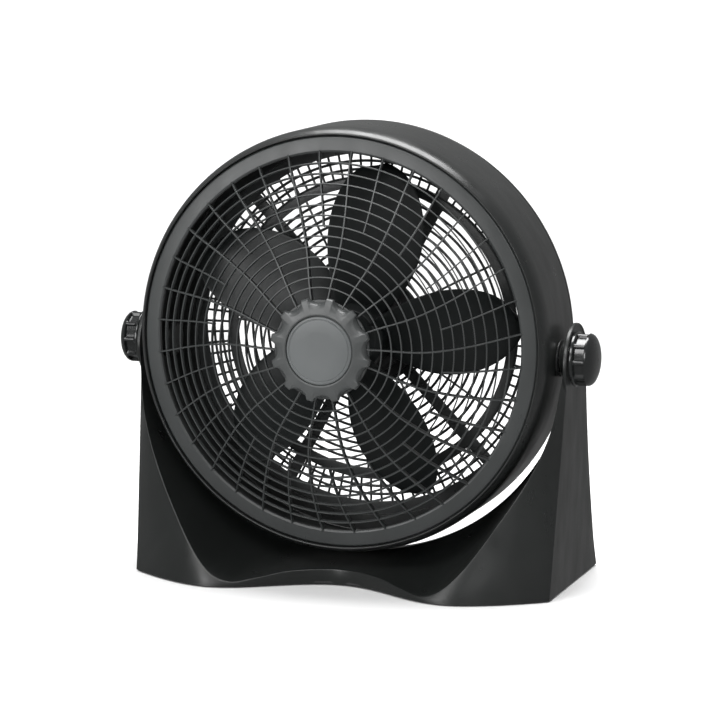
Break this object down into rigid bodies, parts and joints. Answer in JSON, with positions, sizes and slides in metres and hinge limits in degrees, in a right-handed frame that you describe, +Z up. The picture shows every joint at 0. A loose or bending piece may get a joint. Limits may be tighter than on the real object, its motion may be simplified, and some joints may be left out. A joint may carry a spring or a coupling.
{
  "type": "tilting drum fan",
  "caption": "Round drum fan that tilts between the arms of a U-shaped floor stand, with domed ring grille, swept blades, side tilt knobs and a rear speed knob.",
  "frame": {"origin": "bottom centre of the whole object's box, on the floor plane", "axes": "+X to the right seen from the front, along the tilt axis; +Y to the rear, the air leaves towards -Y; +Z up"},
  "size_m": [0.544, 0.256, 0.496],
  "materials": {
    "satin_black": "satin moulded, fine grain",
    "grille_black": "satin moulded",
    "hub_black": "satin moulded",
    "hub_disc_grey": "satin moulded, plain badge disc",
    "blade_black": "semi-gloss moulded",
    "gloss_black": "gloss moulded",
    "rubber": "matt",
    "steel": "zinc plated",
    "brass": "turned",
    "copper": "enamelled winding wire"
  },
  "bodies": {
    "base": {"base_shell": "satin_black", "bottom_plate": "satin_black", "rubber_foot_1": "rubber", "rubber_foot_2": "rubber", "rubber_foot_3": "rubber", "rubber_foot_4": "rubber", "bottom_screw_1": "steel", "bottom_screw_2": "steel", "bottom_screw_3": "steel", "bottom_screw_4": "steel", "left_outer_washer": "steel", "right_outer_washer": "steel", "left_friction_washer": "rubber", "right_friction_washer": "rubber"},
    "head": {"drum_shell": "satin_black", "front_grille": "grille_black", "hub_cap": "hub_black", "hub_disc": "hub_disc_grey", "rear_grille": "grille_black", "rear_grille_screw_1": "steel", "rear_grille_screw_2": "steel", "rear_grille_screw_3": "steel", "rear_grille_screw_4": "steel", "motor_screw_1": "steel", "motor_screw_2": "steel", "motor_screw_3": "steel", "motor_screw_4": "steel", "left_pivot_insert": "brass", "right_pivot_insert": "brass", "motor_housing": "satin_black", "stator_core": "steel", "stator_windings": "copper", "front_bearing": "brass", "rear_bearing": "brass", "motor_rear_cover": "satin_black", "speed_switch": "gloss_black", "run_capacitor": "gloss_black", "cord_gland": "rubber"},
    "rotor": {"fan_blades": "blade_black", "blade_lock_nut": "satin_black", "motor_shaft": "steel", "rotor_core": "steel"},
    "left_knob": {"left_tilt_knob": "gloss_black", "left_tilt_bolt": "steel"},
    "right_knob": {"right_tilt_knob": "gloss_black", "right_tilt_bolt": "steel"},
    "speed_dial": {"speed_knob": "gloss_black"}
  },
  "joints": [
    {"name": "head_tilt", "type": "hinge", "parent": "base", "child": "head", "pos_m": [0, -0.006, 0.252], "axis": [-1, 0, 0], "range_deg": [-15, 90]},
    {"name": "rotor_spin", "type": "hinge", "parent": "head", "child": "rotor", "pos_m": [0, 0, 0.266], "axis": [0, 1, 0], "continuous": true},
    {"name": "left_knob_turn", "type": "hinge", "parent": "head", "child": "left_knob", "pos_m": [0, -0.006, 0.252], "axis": [-1, 0, 0], "range_deg": [0, 360]},
    {"name": "right_knob_turn", "type": "hinge", "parent": "head", "child": "right_knob", "pos_m": [0, -0.006, 0.252], "axis": [1, 0, 0], "range_deg": [0, 360]},
    {"name": "speed_dial_turn", "type": "hinge", "parent": "head", "child": "speed_dial", "pos_m": [0, 0, 0.266], "axis": [0, -1, 0], "range_deg": [0, 135]}
  ]
}
